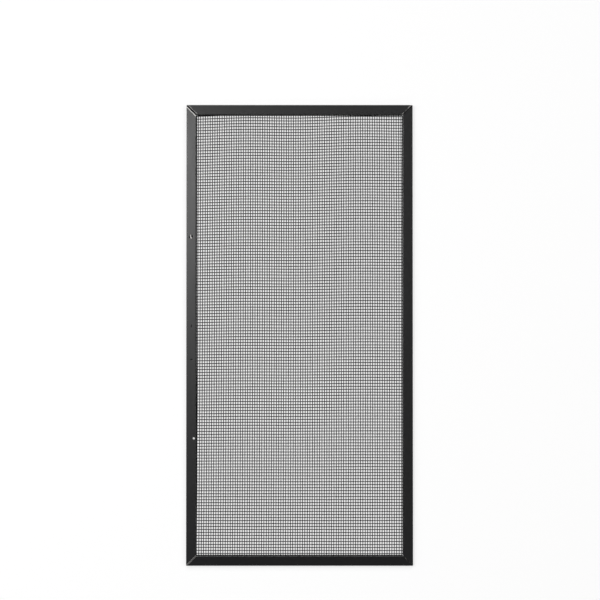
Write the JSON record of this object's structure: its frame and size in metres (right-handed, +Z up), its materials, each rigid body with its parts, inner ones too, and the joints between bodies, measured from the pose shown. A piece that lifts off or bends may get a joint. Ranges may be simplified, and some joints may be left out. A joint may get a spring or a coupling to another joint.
{
  "type": "reptile cage mesh lid",
  "caption": "Flat rectangular screen lid: black wire cloth held in a mitred frame of rolled steel rails. It rests on the rim of a reptile cage and lets air, heat and light through.",
  "frame": {"origin": "middle of the lid's underside, in the plane that it rests on", "axes": "+Z up out of the lid's upper face, +Y along the lid towards its back end, +X to the right"},
  "size_m": [0.3, 0.61, 0.008],
  "materials": {
    "rail_paint": "semi-gloss black paint on sheet steel, thin at the mitred ends",
    "wire_paint": "thick satin black paint on woven steel wire",
    "binding_steel": "plain cold-rolled steel strip",
    "key_steel": "thin black paint on pressed steel"
  },
  "bodies": {
    "root": {"rail_left": "rail_paint", "rail_right": "rail_paint", "rail_back": "rail_paint", "rail_front": "rail_paint", "edge_binding_left": "binding_steel", "edge_binding_right": "binding_steel", "edge_binding_back": "binding_steel", "edge_binding_front": "binding_steel", "corner_key_back_left": "key_steel", "corner_key_back_right": "key_steel", "corner_key_front_left": "key_steel", "corner_key_front_right": "key_steel", "wire_mesh": "wire_paint"}
  },
  "joints": []
}
